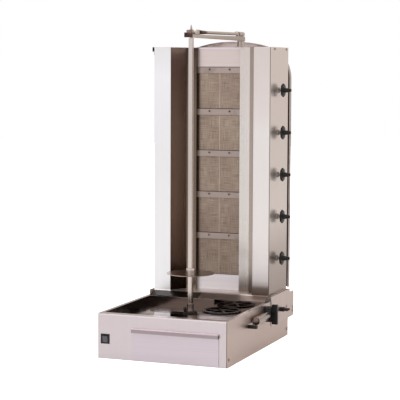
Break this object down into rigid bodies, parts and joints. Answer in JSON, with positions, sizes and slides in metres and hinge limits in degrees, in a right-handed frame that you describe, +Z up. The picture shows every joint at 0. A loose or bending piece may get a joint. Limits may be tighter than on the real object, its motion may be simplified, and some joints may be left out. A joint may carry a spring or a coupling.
{
  "type": "vertical rotisserie broiler",
  "caption": "Counter-top gas broiler with a turning upright spit, a column of wire-faced burners between steel wings, a drip tray over a drawer, and a swing-over top arm.",
  "frame": {"origin": "middle of the base casing's underside", "axes": "+Z up, the front with the drawer faces -Y, +X to the right as seen from the front"},
  "size_m": [0.562, 0.777, 1.211],
  "materials": {
    "casing_steel": "brushed stainless sheet",
    "tray_steel": "polished stainless sheet",
    "hidden_steel": "plain galvanised and stainless sheet inside",
    "column_steel": "bright brushed stainless sheet",
    "reflector_steel": "polished stainless reflector",
    "bright_steel": "polished stainless bar and discs",
    "arm_steel": "satin stainless bar",
    "screw_steel": "plated steel",
    "burner_steel": "heat-darkened pressed steel",
    "mesh_wire": "oxidised heat-proof wire gauze",
    "plaque_ceramic": "perforated matt ceramic",
    "gas_brass": "plain brass pipe",
    "black_iron": "black enamelled iron",
    "dark_fitting": "black-brown painted steel",
    "knob_black": "black moulded thermoset",
    "switch_black": "black moulded plastic",
    "rocker_grey": "dark grey moulded plastic",
    "motor_paint": "grey painted casting"
  },
  "bodies": {
    "base": {"base_casing": "casing_steel", "base_bottom_plate": "hidden_steel", "drip_tray": "tray_steel", "drain_grille": "black_iron", "rear_deck": "tray_steel", "drawer_runners": "hidden_steel", "gear_motor": "motor_paint", "spit_bearing": "dark_fitting", "switch_bezel": "switch_black", "cable_gland": "switch_black", "guide_tube": "bright_steel", "tube_brackets": "dark_fitting", "base_screws": "screw_steel", "clamp_studs": "screw_steel"},
    "drawer": {"drawer_pan": "tray_steel", "drawer_front": "casing_steel"},
    "rocker": {"switch_rocker": "rocker_grey"},
    "spit": {"drive_shaft": "bright_steel", "spit_socket": "bright_steel", "socket_screw": "dark_fitting", "spit_bar": "bright_steel", "meat_disc": "bright_steel", "disc_hub": "bright_steel"},
    "tower": {"side_plate_left": "casing_steel", "side_plate_right": "casing_steel", "left_column": "column_steel", "right_column": "column_steel", "left_reflector": "reflector_steel", "right_reflector": "reflector_steel", "tower_top_plate": "casing_steel", "tower_bottom_plate": "casing_steel", "back_panel": "hidden_steel", "upper_panel": "column_steel", "lower_panel": "column_steel", "burner_box_1": "burner_steel", "burner_box_2": "burner_steel", "burner_box_3": "burner_steel", "burner_box_4": "burner_steel", "burner_box_5": "burner_steel", "burner_meshes": "mesh_wire", "ceramic_plaques": "plaque_ceramic", "bracket_strips": "column_steel", "gas_manifold": "gas_brass", "tap_bodies": "screw_steel", "feed_pipes": "gas_brass", "rear_cover": "casing_steel", "cover_spacers": "screw_steel", "arm_post": "arm_steel", "tower_screws": "screw_steel", "shield_hook": "dark_fitting"},
    "arm": {"arm_bar": "arm_steel"},
    "keeper": {"keeper_block": "arm_steel", "keeper_rod": "arm_steel"},
    "clamp_knob": {"clamp_knob": "knob_black"},
    "clamp_lever": {"clamp_lever": "dark_fitting"},
    "tap_1": {"tap_knob_1": "knob_black"},
    "tap_2": {"tap_knob_2": "knob_black"},
    "tap_3": {"tap_knob_3": "knob_black"},
    "tap_4": {"tap_knob_4": "knob_black"},
    "tap_5": {"tap_knob_5": "knob_black"}
  },
  "joints": [
    {"name": "drawer_slide", "type": "slide", "parent": "base", "child": "drawer", "axis": [0, -1, 0], "range_m": [0, 0.34]},
    {"name": "switch_rock", "type": "hinge", "parent": "base", "child": "rocker", "pos_m": [-0.221, -0.345, 0.073], "axis": [1, 0, 0], "range_deg": [-16, 0]},
    {"name": "spit_turn", "type": "hinge", "parent": "base", "child": "spit", "pos_m": [0, -0.07, 0.144], "axis": [0, 0, 1], "continuous": true},
    {"name": "tower_slide", "type": "slide", "parent": "base", "child": "tower", "axis": [0, -1, 0], "range_m": [0, 0.08]},
    {"name": "arm_swing", "type": "hinge", "parent": "tower", "child": "arm", "pos_m": [0.072, 0.275, 1.167], "axis": [0, 0, 1], "range_deg": [0, 100]},
    {"name": "keeper_slide", "type": "slide", "parent": "arm", "child": "keeper", "axis": [0.2043, 0.9789, 0], "range_m": [0, 0.08]},
    {"name": "clamp_knob_turn", "type": "hinge", "parent": "base", "child": "clamp_knob", "pos_m": [0.2535, 0.071, 0.128], "axis": [1, 0, 0], "continuous": true},
    {"name": "clamp_lever_turn", "type": "hinge", "parent": "base", "child": "clamp_lever", "pos_m": [0.2535, 0.247, 0.119], "axis": [1, 0, 0], "continuous": true},
    {"name": "tap_1_turn", "type": "hinge", "parent": "tower", "child": "tap_1", "pos_m": [0.252, 0.24, 0.968], "axis": [1, 0, 0], "range_deg": [-180, 0]},
    {"name": "tap_2_turn", "type": "hinge", "parent": "tower", "child": "tap_2", "pos_m": [0.252, 0.24, 0.806], "axis": [1, 0, 0], "range_deg": [-180, 0]},
    {"name": "tap_3_turn", "type": "hinge", "parent": "tower", "child": "tap_3", "pos_m": [0.252, 0.24, 0.644], "axis": [1, 0, 0], "range_deg": [-180, 0]},
    {"name": "tap_4_turn", "type": "hinge", "parent": "tower", "child": "tap_4", "pos_m": [0.252, 0.24, 0.482], "axis": [1, 0, 0], "range_deg": [-180, 0]},
    {"name": "tap_5_turn", "type": "hinge", "parent": "tower", "child": "tap_5", "pos_m": [0.252, 0.24, 0.32], "axis": [1, 0, 0], "range_deg": [-180, 0]}
  ],
  "couplings": [
    {"joint": "keeper_slide", "follows": "tower_slide", "ratio": 0.97891}
  ]
}
